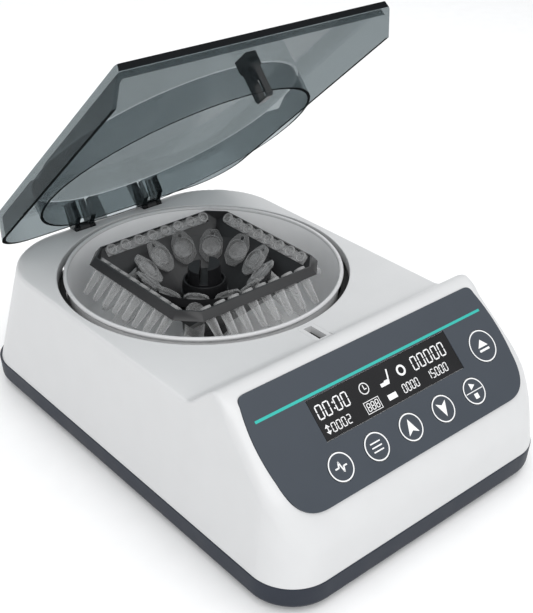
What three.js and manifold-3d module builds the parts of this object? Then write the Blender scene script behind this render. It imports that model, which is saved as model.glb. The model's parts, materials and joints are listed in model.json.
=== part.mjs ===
// Bench-top microcentrifuge with a hinged clear lid, a fixed-angle combination rotor for 12 microtubes
// and 4 strips of 8 PCR tubes, and a sloping control panel.
//
// Frame: millimetres, +X to the operator's right, +Y to the back, +Z up. The origin lies on the bench,
// under the middle of the housing. The lid stands open, as the machine is left between runs.
import * as THREE from 'three';
import { mergeVertices } from 'three/addons/utils/BufferGeometryUtils.js';
import Module from 'manifold-3d';

const wasm = await Module();
wasm.setup();

// ---------------------------------------------------------------- driving dimensions
const HOUSING = { halfWidth: 89.5, halfDepth: 131.5, corner: 24, wall: 2.6 };
const DRAFT = { x: 0.11, y: 0.098 };               // inward lean of the walls, mm per mm of height
const TRAY = { bottom: 2.5, top: 16, floor: 2.5, step: 0.5, lean: 0.055 };
const DECK_Z = 76;
const RIDGE = { footY: -56.8, crestY: -72.3, crestZ: 90.3 };
const PANEL = { topY: -80.9, topZ: 88.3, slope: THREE.MathUtils.degToRad(42.6), height: 59.4, recess: 1 };
const ROTOR_Y = 38.5;                              // the spin axis, on the middle plane X = 0
const BOWL = { hole: 78.5, lip: 75.3, inner: 72.4, wall: 1.9, top: 76.8, floorZ: 33.5, neck: 11 };
const HINGE = { y: 122.8, z: 75.2, knuckle: 3.6, pin: 1.5, finX: [18.5, 28.5], fin: 3 };
const LID = {
  frontY: -69.9, rearY: 122.7, topZ: 91.8, skirtZ: 77.9, topHalf: 78.5, skirtHalf: 81.7, plate: 2.4,
  wall: 2.2, lip: 3.2, rearLean: 2.4, rearCorner: 26, open: THREE.MathUtils.degToRad(41.6),
};
const RING = { outer: 77.6, inner: 76, bottomZ: 74.6 };
const HOOK = { y: -49.7, halfDepth: 5.2, halfThick: 1.9, tipZ: 66.8, windowY: -50.9, windowZ: 71.6 };
const SLOT = { width: 5, depth: 11.6 };
const COLLAR = { halfWidth: 5, frontY: -57.4, rearY: -42.4 };
const KEYS = { small: 6.7, large: 8.3, rowV: 46.8, firstU: -45.1, pitch: 22.1, openU: 62.8, openV: 29.8 };
const WINDOW = { width: 89.8, height: 19.8, v: 24.6 };
const FRAME = { half: 45.4, top: 82, bottom: 77.5, wall: 0.9, chamfer: 9 };
const GUARD = { root: -0.4, reach: 3.2, edgeZ: 78.2, thick: 0.9 };
const STRIP = { pitch: 9, tubes: 8, s: 42.1, z: 80, bar: 70 };
const MICRO = { count: 12, r: 30.5, z: 73, body: 5.3, length: 38 };
const FEET = { x: 78, y: 98, radius: 8 };
const REAR = { z: 44, entryX: 35, ventX: -31, slots: 9, slotPitch: 6 };
const GAP = 0.3;                                   // clearance between pieces that fit together
const ROUND = 48;                                  // facets of a large circle

// ---------------------------------------------------------------- materials
const finish = (color, roughness, metalness = 0, extra = {}) =>
  new THREE.MeshStandardMaterial({ color, roughness, metalness, ...extra });
const WHITE_ABS = finish(0xe9eaeb, 0.45);
const SLATE_ABS = finish(0x40464e, 0.5);
const SLATE_FILM = finish(0x50565e, 0.45);
const BLACK_PLASTIC = finish(0x232325, 0.5);
const GREY_LINER = finish(0x8f9193, 0.4);
const SMOKE = finish(0x6f787a, 0.08, 0, { transparent: true, opacity: 0.5 });
const CLEAR_PP = finish(0xb9bcbe, 0.3, 0, { transparent: true, opacity: 0.6 });
const DARK_GLASS = finish(0x1d1e20, 0.1);
const STEEL = finish(0xb5b8bb, 0.3, 1);
const ALUMINIUM = finish(0xa9adb0, 0.4, 1);
const COPPER = finish(0x9a5b33, 0.4, 1);
const RUBBER = finish(0x1b1b1c, 0.9);
const BOARD = finish(0x1f5b3a, 0.6);

// ---------------------------------------------------------------- solids
function signedVolume(positions, triangles) {
  const a = new THREE.Vector3();
  const b = new THREE.Vector3();
  const c = new THREE.Vector3();
  let volume = 0;
  for (let i = 0; i < triangles.length; i += 3) {
    a.fromArray(positions, triangles[i] * 3);
    b.fromArray(positions, triangles[i + 1] * 3);
    c.fromArray(positions, triangles[i + 2] * 3);
    volume += a.dot(b.cross(c)) / 6;
  }
  return volume;
}

// A closed three.js geometry as a boolean solid, with its faces turned outwards.
function solid(geometry) {
  const bare = geometry.clone();
  bare.deleteAttribute('normal');
  bare.deleteAttribute('uv');
  const merged = mergeVertices(bare, 1e-4);
  const vertProperties = new Float32Array(merged.attributes.position.array);
  const triVerts = new Uint32Array(merged.index.array);
  if (signedVolume(vertProperties, triVerts) < 0) {
    for (let i = 0; i < triVerts.length; i += 3) {
      [triVerts[i], triVerts[i + 1]] = [triVerts[i + 1], triVerts[i]];
    }
  }
  const mesh = new wasm.Mesh({ numProp: 3, vertProperties, triVerts });
  mesh.merge();
  return new wasm.Manifold(mesh);
}

const join = (...geometries) => geometries.map(solid).reduce((all, next) => all.add(next));
const cut = (base, ...tools) => tools.reduce((left, tool) => left.subtract(solid(tool)), base);

function geometryOf(body) {
  const { vertProperties, triVerts } = body.getMesh();
  const geometry = new THREE.BufferGeometry();
  geometry.setAttribute('position', new THREE.BufferAttribute(vertProperties, 3));
  geometry.setIndex(new THREE.BufferAttribute(triVerts, 1));
  geometry.computeVertexNormals();
  return geometry;
}

// ---------------------------------------------------------------- shapes
const box = (x0, x1, y0, y1, z0, z1) =>
  new THREE.BoxGeometry(x1 - x0, y1 - y0, z1 - z0).translate((x0 + x1) / 2, (y0 + y1) / 2, (z0 + z1) / 2);

const rodZ = (radius, z0, z1, x = 0, y = 0, facets = 20, topRadius = radius) =>
  new THREE.CylinderGeometry(topRadius, radius, z1 - z0, facets)
    .rotateX(Math.PI / 2)
    .translate(x, y, (z0 + z1) / 2);

const rodX = (radius, x0, x1, y, z, facets = 12) =>
  new THREE.CylinderGeometry(radius, radius, x1 - x0, facets)
    .rotateZ(Math.PI / 2)
    .translate((x0 + x1) / 2, y, z);

const polygon = (points) => new THREE.Shape(points.map(([x, y]) => new THREE.Vector2(x, y)));

const plate = (shape, z0, z1, curveSegments = 8) =>
  new THREE.ExtrudeGeometry(shape, { depth: z1 - z0, bevelEnabled: false, curveSegments }).translate(0, 0, z0);

// A side profile, given as [y, z] points, swept from x0 to x1.
const sideways = (shape, x0, x1, curveSegments = 8) =>
  plate(shape, x0, x1, curveSegments).rotateX(Math.PI / 2).rotateZ(Math.PI / 2);

const turned = (points, facets = ROUND) =>
  new THREE.LatheGeometry(points.map(([r, z]) => new THREE.Vector2(r, z)), facets).rotateX(Math.PI / 2);

const ring = (inner, outer, z0, z1, facets = ROUND) =>
  turned([[inner, z0], [outer, z0], [outer, z1], [inner, z1], [inner, z0]], facets);

function roundedRect(halfX, y0, y1, frontRadius, rearRadius = frontRadius) {
  const shape = new THREE.Shape();
  shape.moveTo(-halfX + frontRadius, y0);
  shape.lineTo(halfX - frontRadius, y0);
  shape.absarc(halfX - frontRadius, y0 + frontRadius, frontRadius, -Math.PI / 2, 0);
  shape.lineTo(halfX, y1 - rearRadius);
  shape.absarc(halfX - rearRadius, y1 - rearRadius, rearRadius, 0, Math.PI / 2);
  shape.lineTo(-halfX + rearRadius, y1);
  shape.absarc(-halfX + rearRadius, y1 - rearRadius, rearRadius, Math.PI / 2, Math.PI);
  shape.lineTo(-halfX, y0 + frontRadius);
  shape.absarc(-halfX + frontRadius, y0 + frontRadius, frontRadius, Math.PI, Math.PI * 1.5);
  return shape;
}

// Leans the walls of an upright block: each point moves by the draft times its height above z0.
function drafted(geometry, z0, halfX, leanX, leanY, y0 = 0, halfY = halfX) {
  const position = geometry.attributes.position;
  for (let i = 0; i < position.count; i += 1) {
    const rise = position.getZ(i) - z0;
    position.setX(i, position.getX(i) * (1 - (leanX * rise) / halfX));
    position.setY(i, y0 + (position.getY(i) - y0) * (1 - (leanY * rise) / halfY));
  }
  return geometry;
}

// ---------------------------------------------------------------- assembly helpers
const machine = new THREE.Group();

function add(parent, name, body, material) {
  const geometry = body instanceof THREE.BufferGeometry ? geometryOf(solid(body)) : geometryOf(body);
  const mesh = new THREE.Mesh(geometry, material);
  mesh.name = name;
  parent.add(mesh);
  return mesh;
}

function group(parent, x, y, z, rx = 0, rz = 0) {
  const child = new THREE.Group();
  child.position.set(x, y, z);
  child.rotation.set(rx, 0, rz, 'ZXY');
  parent.add(child);
  return child;
}

// ---------------------------------------------------------------- housing
// The housing without its hollow, shrunk on every side by the inset.
function housingBlock(inset, z0, z1) {
  const halfX = HOUSING.halfWidth - inset;
  const halfY = HOUSING.halfDepth - inset;
  const outline = roundedRect(halfX, -halfY, halfY, HOUSING.corner - inset);
  const block = plate(outline, z0, z1, 6);
  return drafted(block, TRAY.top, halfX, DRAFT.x, DRAFT.y, 0, halfY);
}

function housingProfile(inset) {
  const deck = DECK_Z - inset;
  const crest = RIDGE.crestZ - inset;
  const tangent = Math.tan(PANEL.slope);
  const panelZ = (y) => PANEL.topZ + (y - PANEL.topY) * tangent - inset / Math.cos(PANEL.slope);
  const crestFront = PANEL.topY + (crest - panelZ(PANEL.topY)) / tangent;
  const rearRun = RIDGE.footY - RIDGE.crestY;
  const rearRise = RIDGE.crestZ - DECK_Z;
  const shift = (inset * (Math.hypot(rearRun, rearRise) - rearRun)) / rearRise;
  const far = HOUSING.halfDepth + 20;
  const under = TRAY.top - (inset > 0 ? 6 : 0);
  return polygon([
    [-far, under], [-far, panelZ(-far)], [crestFront, crest], [RIDGE.crestY - shift, crest],
    [RIDGE.footY - shift, deck], [far, deck], [far, under],
  ]);
}

function housingSolid(inset) {
  const block = solid(housingBlock(inset, inset > 0 ? 10 : TRAY.top, 95));
  return block.intersect(solid(sideways(housingProfile(inset), -120, 120)));
}

function inPanel(geometry) {
  return geometry.rotateX(PANEL.slope).translate(0, PANEL.topY, PANEL.topZ);
}

// The outline of the dark front panel: straight ends, bulging sides, larger lower corners.
function panelOutline(grow) {
  const shape = new THREE.Shape();
  const bottom = -PANEL.height - grow;
  const corner = (side) => ({
    a: [side * (70.9 + grow), grow], b: [side * (75.4 + grow), grow], c: [side * (75.6 + grow), -4.5],
    d: [side * (80 + grow), -22], e: [side * (77.4 + grow), -40], f: [side * (76.2 + grow), bottom],
    g: [side * 60, bottom],
  });
  const left = corner(-1);
  const right = corner(1);
  shape.moveTo(...left.a);
  shape.lineTo(...right.a);
  shape.quadraticCurveTo(...right.b, ...right.c);
  shape.quadraticCurveTo(...right.d, ...right.e);
  shape.quadraticCurveTo(...right.f, ...right.g);
  shape.lineTo(...left.g);
  shape.quadraticCurveTo(...left.f, ...left.e);
  shape.quadraticCurveTo(...left.d, ...left.c);
  shape.quadraticCurveTo(...left.b, ...left.a);
  return shape;
}

const keyPlaces = [
  { name: 'key_pulse', u: KEYS.firstU, v: KEYS.rowV, radius: KEYS.small },
  { name: 'key_menu', u: KEYS.firstU + KEYS.pitch, v: KEYS.rowV, radius: KEYS.small },
  { name: 'key_up', u: KEYS.firstU + 2 * KEYS.pitch, v: KEYS.rowV, radius: KEYS.small },
  { name: 'key_down', u: KEYS.firstU + 3 * KEYS.pitch, v: KEYS.rowV, radius: KEYS.small },
  { name: 'key_start_stop', u: KEYS.firstU + 4 * KEYS.pitch, v: KEYS.rowV, radius: KEYS.small },
  { name: 'key_open', u: KEYS.openU, v: KEYS.openV, radius: KEYS.large },
];
const STEM = 3;

function rearFace(geometry, x, z) {
  const lean = Math.atan(DRAFT.y);
  const y = HOUSING.halfDepth - DRAFT.y * (z - TRAY.top);
  return geometry.rotateX(lean - Math.PI / 2).translate(x, y, z);
}

const corners = [[-1, -1], [1, -1], [1, 1], [-1, 1]];

function topCasing() {
  const outer = housingSolid(0);
  const bosses = corners.map(([sx, sy]) => solid(rodZ(4.5, 8, 36, sx * FEET.x, sy * FEET.y, 12))
    .add(solid(box(sx > 0 ? FEET.x : -88, sx > 0 ? 88 : -FEET.x, sy * FEET.y - 1.5, sy * FEET.y + 1.5, 16, 36))));
  const envelope = outer.add(solid(box(-86, 86, -128, 128, 7, TRAY.top + 1)));
  let shell = outer.subtract(housingSolid(HOUSING.wall));
  const flange = ring(BOWL.hole - 1, BOWL.hole + 1.8, 70.5, DECK_Z - 1).translate(0, ROTOR_Y, 0);
  shell = shell.add(solid(flange));
  bosses.forEach((boss) => {
    shell = shell.add(boss.intersect(envelope));
  });
  const tools = [
    rodZ(BOWL.hole, 60, 80, 0, ROTOR_Y, ROUND),
    box(-COLLAR.halfWidth - GAP, COLLAR.halfWidth + GAP, COLLAR.frontY - GAP, COLLAR.rearY + GAP, 70, 80),
    inPanel(plate(panelOutline(GAP), -PANEL.recess, 5, 6)),
    inPanel(box(-WINDOW.width / 2 + 1, WINDOW.width / 2 - 1, -WINDOW.v - 9, -WINDOW.v + 9, -6, 0)),
    rearFace(box(-22.4, 22.4, -10.9, 10.9, -8, 8), REAR.entryX, REAR.z),
  ];
  const pocket = [HINGE.finX[0] - 2.1, HINGE.finX[1] + 2.1];
  [-1, 1].forEach((side) => {
    const ends = [side * pocket[0], side * pocket[1]].sort((a, b) => a - b);
    tools.push(box(...ends, 118.6, 135, 70.8, 85));
  });
  keyPlaces.forEach(({ u, v }) => tools.push(inPanel(rodZ(STEM + 0.4, -6, 0, u, -v, 10))));
  corners.forEach(([sx, sy]) => tools.push(rodZ(1.8, 0, 27, sx * FEET.x, sy * FEET.y, 8)));
  for (let i = 0; i < REAR.slots; i += 1) {
    const x = REAR.ventX + (i - (REAR.slots - 1) / 2) * REAR.slotPitch;
    tools.push(rearFace(box(-1.2, 1.2, -13, 13, -6, 4), x, REAR.z));
  }
  return cut(shell, ...tools);
}
add(machine, 'top_casing', topCasing(), WHITE_ABS);

const DAMPERS = [30, 150, 270];
const POSTS = [90, 210, 330];
const around = (radius, degrees) => {
  const angle = THREE.MathUtils.degToRad(degrees);
  return [radius * Math.cos(angle), ROTOR_Y + radius * Math.sin(angle)];
};

function baseTray() {
  const halfX = HOUSING.halfWidth + TRAY.step;
  const halfY = HOUSING.halfDepth + TRAY.step;
  const block = (inset, z0, z1) => {
    const outline = roundedRect(halfX - inset, inset - halfY, halfY - inset, HOUSING.corner - inset);
    return drafted(plate(outline, z0, z1, 6), TRAY.top, halfX, -TRAY.lean, -TRAY.lean, 0, halfY);
  };
  const floorTop = TRAY.bottom + TRAY.floor;
  let tray = cut(solid(block(0, TRAY.bottom, TRAY.top)), block(2.5, floorTop, TRAY.top + 1));
  corners.forEach(([sx, sy]) => {
    tray = tray.add(solid(rodZ(4.5, TRAY.bottom + 1, 8 - GAP, sx * FEET.x, sy * FEET.y, 12)));
  });
  POSTS.forEach((degrees) => {
    tray = tray.add(solid(rodZ(4, TRAY.bottom + 1, 31.2, ...around(52, degrees), 10)));
  });
  const tools = corners.map(([sx, sy]) => rodZ(2, 0, 10, sx * FEET.x, sy * FEET.y, 8));
  for (let i = -2; i <= 2; i += 1) {
    tools.push(box(-22, 22, ROTOR_Y - 1.5 + i * 7, ROTOR_Y + 1.5 + i * 7, 0, floorTop + 1));
  }
  return cut(tray, ...tools);
}
add(machine, 'base_tray', baseTray(), SLATE_ABS);

function foot(x, y) {
  return cut(solid(rodZ(FEET.radius, 0, TRAY.bottom, x, y, 20)), rodZ(3.7, -1, 1.4, x, y, 12), rodZ(2, -1, 4, x, y, 8));
}

function caseScrew(x, y) {
  const screw = join(rodZ(3.3, 0.3, 1.3, x, y, 12), rodZ(1.5, 1, 26, x, y, 8));
  return cut(screw, box(x - 2, x + 2, y - 0.4, y + 0.4, 0, 0.8), box(x - 0.4, x + 0.4, y - 2, y + 2, 0, 0.8));
}
corners.forEach(([sx, sy], i) => {
  add(machine, `foot_${i + 1}`, foot(sx * FEET.x, sy * FEET.y), RUBBER);
  add(machine, `case_screw_${i + 1}`, caseScrew(sx * FEET.x, sy * FEET.y), STEEL);
});

// ---------------------------------------------------------------- rotor chamber
function bowl() {
  const { lip, inner, wall, top, floorZ, neck } = BOWL;
  const low = inner - 3;
  const profile = [
    [neck, floorZ - 2], [low - 6, floorZ - 2], [low + wall, floorZ + 6], [inner + wall, top - 4],
    [lip, top - 3], [lip, top - 1], [lip - 1.3, top], [inner, top - 1.2], [low, floorZ + 7],
    [low - 6, floorZ], [neck + 2, floorZ], [neck + 2, floorZ + 2.5], [neck, floorZ + 2.5],
    [neck, floorZ - 2],
  ];
  return turned(profile).translate(0, ROTOR_Y, 0);
}
add(machine, 'bowl', bowl(), GREY_LINER);
const SEAL = { inner: BOWL.inner + BOWL.wall + 0.4, outer: BOWL.hole - GAP, z0: 65.5, z1: 69.5 };
add(machine, 'chamber_seal', ring(SEAL.inner, SEAL.outer, SEAL.z0, SEAL.z1).translate(0, ROTOR_Y, 0), RUBBER);

// ---------------------------------------------------------------- motor
const MOTOR = { bracketZ: 10, housingZ: 12.5, capZ: 27.5, topZ: 30, radius: 28, bearing: 8, shaft: 4 };
const atRotor = (geometry) => geometry.translate(0, ROTOR_Y, 0);

DAMPERS.forEach((degrees, i) => {
  const [x, y] = around(38, degrees);
  add(machine, `motor_damper_${i + 1}`, rodZ(6, TRAY.bottom + TRAY.floor, MOTOR.bracketZ, x, y, 16), RUBBER);
});
add(machine, 'motor_bracket', atRotor(ring(9, 46, MOTOR.bracketZ, MOTOR.housingZ, 32)), STEEL);
function motorHousing() {
  const { radius, housingZ, capZ } = MOTOR;
  return turned([
    [MOTOR.shaft + GAP, housingZ], [radius, housingZ], [radius, capZ], [radius - 2.5, capZ],
    [radius - 2.5, housingZ + 3], [MOTOR.shaft + GAP, housingZ + 3], [MOTOR.shaft + GAP, housingZ],
  ], 28);
}
add(machine, 'motor_housing', atRotor(motorHousing()), ALUMINIUM);
add(machine, 'motor_end_cap', atRotor(ring(MOTOR.bearing + 0.3, MOTOR.radius, MOTOR.capZ, MOTOR.topZ, 28)), ALUMINIUM);
add(machine, 'motor_stator', atRotor(ring(17.5, 25, 16, 26.5, 24)), COPPER);
const bearing = ring(MOTOR.shaft + GAP, MOTOR.bearing, MOTOR.capZ, MOTOR.topZ, 16);
add(machine, 'motor_bearing', atRotor(bearing), STEEL);

// ---------------------------------------------------------------- electronics and power
add(machine, 'power_supply', box(-70, -8, -112, -62, TRAY.bottom + TRAY.floor, 33), ALUMINIUM);
function driverBoard() {
  const posts = [[6, -112], [66, -112], [6, -64], [66, -64]].map(([x, y]) => rodZ(2.5, 5, 11, x, y, 8));
  const capacitor = rodZ(11, 11, 40, 20, -88, 16);
  const heatSink = Array.from({ length: 5 }, (unused, i) => box(42, 60, -100 + i * 6, -97.5 + i * 6, 14, 32));
  return join(box(0, 72, -118, -58, 10, 11.6), capacitor, box(42, 60, -100, -73.5, 11, 15), ...heatSink, ...posts);
}
add(machine, 'driver_board', driverBoard(), BOARD);

// One moulding carries the mains socket on one side and the frame of the power switch on the other.
function powerEntry() {
  const body = join(box(-25, 25, -13.5, 13.5, GAP, 1.6), box(-22, 22, -10.5, 10.5, -18, 1));
  const socket = cut(body, box(-20, 3, -7.8, 7.8, -14, 4), box(7.4, 18.6, -8.9, 8.9, -10, 4));
  const prongs = [[-15.5, 0], [-8.5, -3], [-1.5, 0]];
  return prongs.reduce((all, [x, y]) => all.add(solid(box(x - 1, x + 1, y - 2, y + 2, -15, -1))), socket);
}
function rocker() {
  const shape = polygon([[-8.4, 0.4], [-8.2, 3.6], [0, 2.1], [8.2, 1], [8.4, -1], [1.5, -5], [-1.5, -5]]);
  return sideways(shape, 13 - 5.2, 13 + 5.2);
}
const rearLean = Math.atan(DRAFT.y) - Math.PI / 2;
const rearY = HOUSING.halfDepth - DRAFT.y * (REAR.z - TRAY.top);
const entry = group(machine, REAR.entryX, rearY, REAR.z, rearLean);
add(entry, 'power_entry', powerEntry(), BLACK_PLASTIC);
add(entry, 'power_rocker', rocker(), BLACK_PLASTIC);

// ---------------------------------------------------------------- control panel
const panel = group(machine, 0, PANEL.topY, PANEL.topZ, PANEL.slope);
const FILM = { under: -0.7, top: 0.3 };

function panelOverlay() {
  const holes = keyPlaces.map(({ u, v, radius }) => rodZ(radius + 0.35, -2, 2, u, -v, 20));
  const opening = box(-WINDOW.width / 2 - GAP, WINDOW.width / 2 + GAP,
    -WINDOW.v - WINDOW.height / 2 - GAP, -WINDOW.v + WINDOW.height / 2 + GAP, -2, 2);
  return cut(solid(plate(panelOutline(0), FILM.under, FILM.top, 6)), opening, ...holes);
}
add(panel, 'panel_overlay', panelOverlay(), SLATE_FILM);
add(panel, 'display_window', box(-WINDOW.width / 2, WINDOW.width / 2,
  -WINDOW.v - WINDOW.height / 2, -WINDOW.v + WINDOW.height / 2, FILM.under, FILM.top), DARK_GLASS);
add(panel, 'display_board', join(box(-46, 46, -WINDOW.v - 12, -WINDOW.v + 12, -6, -3.4),
  box(-67, 73, -53, -7, -6.8, -5.2)), BOARD);
keyPlaces.forEach(({ name, u, v, radius }) => {
  const cap = join(rodZ(radius, -0.35, 0.35, u, -v, 20), rodZ(STEM, -4.6, 0, u, -v, 8));
  add(panel, name, cap, SLATE_FILM);
});

// ---------------------------------------------------------------- lid lock
const BOLT = { y: HOOK.windowY, z: 69.8, halfY: 1.8, halfZ: 1.6, x0: 4, x1: 22 };

function lockHousing() {
  const under = DECK_Z - HOUSING.wall - GAP;
  const body = solid(box(-10, 16, -58, -42.2, 60, under));
  const collar = solid(box(-COLLAR.halfWidth, COLLAR.halfWidth, COLLAR.frontY, COLLAR.rearY, under - 1, DECK_Z));
  return cut(body.add(collar),
    box(-SLOT.width / 2, SLOT.width / 2, HOOK.y - SLOT.depth / 2, HOOK.y + SLOT.depth / 2, 64, 76),
    box(0, 20, BOLT.y - BOLT.halfY - GAP, BOLT.y + BOLT.halfY + GAP, BOLT.z - BOLT.halfZ - GAP, BOLT.z + BOLT.halfZ + GAP));
}
add(machine, 'lock_housing', lockHousing(), BLACK_PLASTIC);
const boltBlade = box(BOLT.x0, BOLT.x1, BOLT.y - BOLT.halfY, BOLT.y + BOLT.halfY, BOLT.z - BOLT.halfZ, BOLT.z + BOLT.halfZ);
add(machine, 'lock_bolt', join(boltBlade, rodX(1.3, 20, 40, BOLT.y, BOLT.z, 12)), STEEL);
const coil = solid(box(25, 48, -58.5, -43.5, 62.5, 73));
add(machine, 'lock_solenoid', cut(coil, rodX(1.7, 20, 44, BOLT.y, BOLT.z, 12)), ALUMINIUM);

// ---------------------------------------------------------------- hinge
// One moulding under the deck: a bar with two upright ears, each between a pair of lid fins.
function hingeBracket() {
  const inner = HINGE.finX[0] + HINGE.fin / 2 + 0.4;
  const outer = HINGE.finX[1] - HINGE.fin / 2 - 0.4;
  const shape = new THREE.Shape();
  shape.moveTo(HINGE.y - 5.4, 62);
  shape.lineTo(HINGE.y - 1, 62);
  shape.lineTo(HINGE.y, 71.2);
  shape.lineTo(HINGE.y + 3.2, 71.2);
  shape.lineTo(HINGE.y + 3.2, HINGE.z);
  shape.absarc(HINGE.y, HINGE.z, 3.2, 0, Math.PI);
  shape.lineTo(HINGE.y - 3.2, 69.8);
  shape.lineTo(HINGE.y - 5.4, 69.8);
  const ears = [-1, 1].map((side) => {
    const ends = [side * inner, side * outer].sort((a, b) => a - b);
    return sideways(shape, ...ends, 6);
  });
  const bar = box(-outer, outer, HINGE.y - 5.4, HINGE.y - 1.2, 58, 66);
  return cut(join(bar, ...ears), rodX(HINGE.pin + GAP, -40, 40, HINGE.y, HINGE.z));
}
add(machine, 'hinge_bracket', hingeBracket(), BLACK_PLASTIC);
[['left', -1], ['right', 1]].forEach(([name, side]) => {
  const ends = [side * 16.8, side * 30.2].sort((a, b) => a - b);
  add(machine, `hinge_pin_${name}`, rodX(HINGE.pin, ...ends, HINGE.y, HINGE.z), STEEL);
});

// ---------------------------------------------------------------- lid, drawn closed and then turned open
const lid = group(machine, 0, HINGE.y, HINGE.z, -LID.open);
const addToLid = (name, body, material) => {
  const mesh = add(lid, name, body, material);
  mesh.geometry.translate(0, -HINGE.y, -HINGE.z);
};

function lidBlock(inset, z0, z1) {
  const front = LID.frontY + (inset > 0 ? LID.lip : 0);
  const rear = LID.rearY - inset;
  const outline = roundedRect(LID.skirtHalf - inset, front, rear, 2, LID.rearCorner - inset);
  const rise = LID.topZ - LID.skirtZ;
  const leanX = (LID.skirtHalf - LID.topHalf) / rise;
  const leanY = LID.rearLean / rise;
  return drafted(plate(outline, z0, z1, 8), LID.skirtZ, LID.skirtHalf, leanX, leanY, front, rear - front);
}

function lidProfile() {
  const run = RIDGE.footY - RIDGE.crestY;
  const rise = RIDGE.crestZ - DECK_Z;
  const clearance = 0.9;
  const away = (clearance * Math.hypot(run, rise)) / rise;
  const onRidge = (z) => RIDGE.footY + away - ((z - DECK_Z) * run) / rise;
  const lipZ = LID.topZ - LID.lip;
  return polygon([
    [LID.frontY - 1, LID.topZ], [LID.frontY - 1, lipZ], [onRidge(lipZ), lipZ],
    [onRidge(LID.skirtZ), LID.skirtZ], [LID.rearY + 5, LID.skirtZ], [LID.rearY + 5, LID.topZ],
  ]);
}

function hingeFin(x) {
  const shape = new THREE.Shape();
  shape.moveTo(HINGE.y - 11.4, LID.topZ - 1);
  shape.lineTo(HINGE.y - 10.2, HINGE.z + 4);
  shape.lineTo(HINGE.y - HINGE.knuckle, HINGE.z + 1);
  shape.absarc(HINGE.y, HINGE.z, HINGE.knuckle, Math.PI, Math.PI * 2.1);
  shape.lineTo(HINGE.y - 1.6, LID.topZ - 1);
  return sideways(shape, x - HINGE.fin / 2, x + HINGE.fin / 2, 6);
}

function lidCover() {
  const outer = solid(lidBlock(0, LID.skirtZ - 5, LID.topZ)).intersect(solid(sideways(lidProfile(), -100, 100)));
  const inside = lidBlock(LID.wall, LID.skirtZ - 6, LID.topZ - LID.plate);
  const rimRing = ring(RING.inner, RING.outer, RING.bottomZ, LID.topZ - 1).translate(0, ROTOR_Y, 0);
  let cover = cut(outer, inside).add(solid(rimRing));
  const notches = [-1, 1].map((side) => {
    const ends = [side * (HINGE.finX[0] - 1.9), side * (HINGE.finX[1] + 1.9)].sort((a, b) => a - b);
    return box(...ends, HINGE.y - 4.6, HINGE.y + 8, HINGE.z - 8, HINGE.z + 5);
  });
  cover = cut(cover, ...notches);
  HINGE.finX.flatMap((x) => [-x, x]).forEach((x) => {
    cover = cover.add(solid(hingeFin(x)));
  });
  return cut(cover, rodX(HINGE.pin + GAP, -40, 40, HINGE.y, HINGE.z));
}
addToLid('lid_cover', lidCover(), SMOKE);

function latchHook() {
  const { y, halfDepth, halfThick, tipZ, windowY, windowZ } = HOOK;
  const under = LID.topZ - LID.plate - GAP;
  const blade = polygon([
    [y - halfDepth, under], [y - halfDepth, tipZ + 1.2], [y - halfDepth + 1.2, tipZ],
    [y + halfDepth - 1.2, tipZ], [y + halfDepth, tipZ + 1.2], [y + halfDepth, under],
  ]);
  const body = join(sideways(blade, -halfThick, halfThick), box(-3.1, 3.1, y - halfDepth, y + halfDepth, 82, under));
  return cut(body, box(-4, 4, windowY - 2.5, windowY + 2.5, windowZ - 4, windowZ + 4));
}
addToLid('latch_hook', latchHook(), SMOKE);

// ---------------------------------------------------------------- rotor, drawn about its own axis
const spin = group(machine, 0, ROTOR_Y, 0);

function motorRotor() {
  return join(rodZ(16.8, 16.5, 26, 0, 0, 32), rodZ(MOTOR.shaft, 12.8, 40, 0, 0, 16), rodZ(3, 39, 66, 0, 0, 16));
}
add(spin, 'motor_rotor', motorRotor(), STEEL);

// A frame outline: a square with its four corners cut.
function squareCorners(half, chamfer) {
  const near = half - chamfer;
  return [
    [-near, -half], [near, -half], [half, -near], [half, near], [near, half], [-near, half], [-half, near], [-half, -near],
  ];
}
const squareOutline = (half, chamfer) => polygon(squareCorners(half, chamfer));

// Everything below a four-sided dish whose sides rise at 45 degrees from the apex height.
function squareDish(apexZ, reach) {
  const cone = new THREE.ConeGeometry(reach * Math.SQRT2, reach, 4, 1);
  return cone.rotateX(-Math.PI / 2).rotateZ(Math.PI / 4).translate(0, 0, apexZ + reach / 2);
}

// The axis of a tube leans outwards by 45 degrees; s is its distance from the spin axis at height z.
const leaning = (geometry, s, z, turn) =>
  geometry.rotateY(-Math.PI / 4).translate(s, 0, z).rotateZ(turn);

const sides = [0, 1, 2, 3].map((i) => (i * Math.PI) / 2);
const tubeTurns = Array.from({ length: MICRO.count }, (unused, i) => ((i + 0.5) * 2 * Math.PI) / MICRO.count);
const stripOffsets = Array.from({ length: STRIP.tubes }, (unused, i) => (i - (STRIP.tubes - 1) / 2) * STRIP.pitch);
const SHELF = { low: FRAME.bottom - FRAME.half, high: STRIP.z - STRIP.s - 1.25 };
const CONE = { rise: MICRO.z - MICRO.r - 2.7, inner: 13, outer: 36.6, thick: 5 };

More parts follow.
